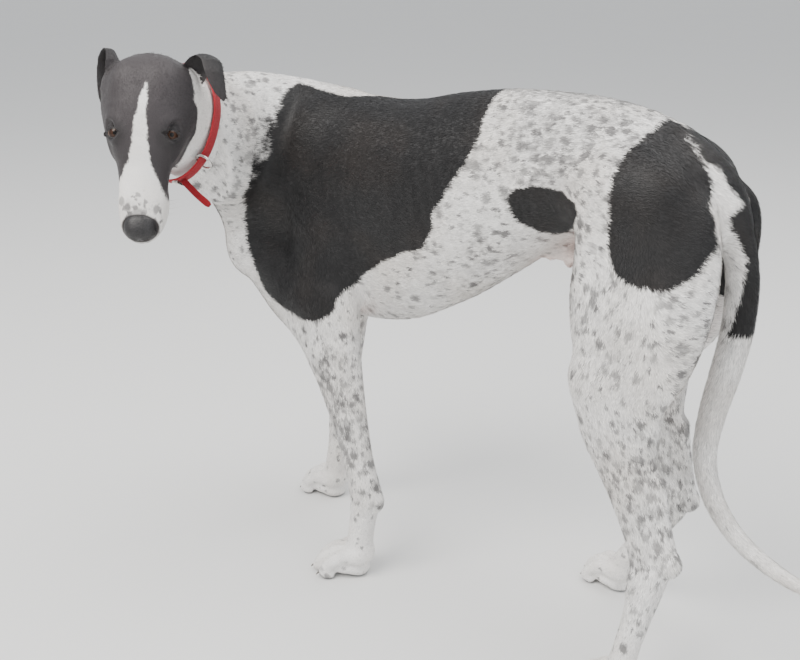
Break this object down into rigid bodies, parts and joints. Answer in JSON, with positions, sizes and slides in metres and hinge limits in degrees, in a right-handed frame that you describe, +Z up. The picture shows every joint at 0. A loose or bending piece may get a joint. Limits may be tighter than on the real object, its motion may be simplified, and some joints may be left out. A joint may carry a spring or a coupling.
{
  "type": "greyhound",
  "caption": "Life-size still model of a standing black and white greyhound that looks back over its left shoulder, with a plain red collar, for display on a floor.",
  "frame": {"origin": "on the floor under the middle of the bounding box", "axes": "+Z up, the dog's head end towards -X, its left side towards -Y"},
  "size_m": [0.9898, 0.529, 0.7643],
  "materials": {
    "white_coat": "short flat white fur with soft grey ticking",
    "dark_coat": "short flat black fur with a soft sheen, white blaze",
    "patched_coat": "short flat white fur with black patches",
    "nose_leather": "black damp pebbled skin",
    "eye_gloss": "clear wet gloss over amber brown",
    "red_webbing": "red woven webbing",
    "ring_steel": "bright round wire"
  },
  "bodies": {
    "root": {"head": "dark_coat", "ear_left": "dark_coat", "ear_right": "dark_coat", "nose": "nose_leather", "eye_left": "eye_gloss", "eye_right": "eye_gloss", "neck": "white_coat", "torso_front": "patched_coat", "torso_rear": "patched_coat", "thigh_left": "patched_coat", "thigh_right": "patched_coat", "foreleg_left": "white_coat", "foreleg_right": "white_coat", "fore_paw_left": "white_coat", "fore_paw_right": "white_coat", "hind_leg_left": "white_coat", "hind_leg_right": "white_coat", "hind_paw_left": "white_coat", "hind_paw_right": "white_coat", "tail_root": "patched_coat", "tail_middle": "white_coat", "tail_end": "white_coat", "collar": "red_webbing", "collar_strap_end": "red_webbing", "collar_ring": "ring_steel"}
  },
  "joints": []
}
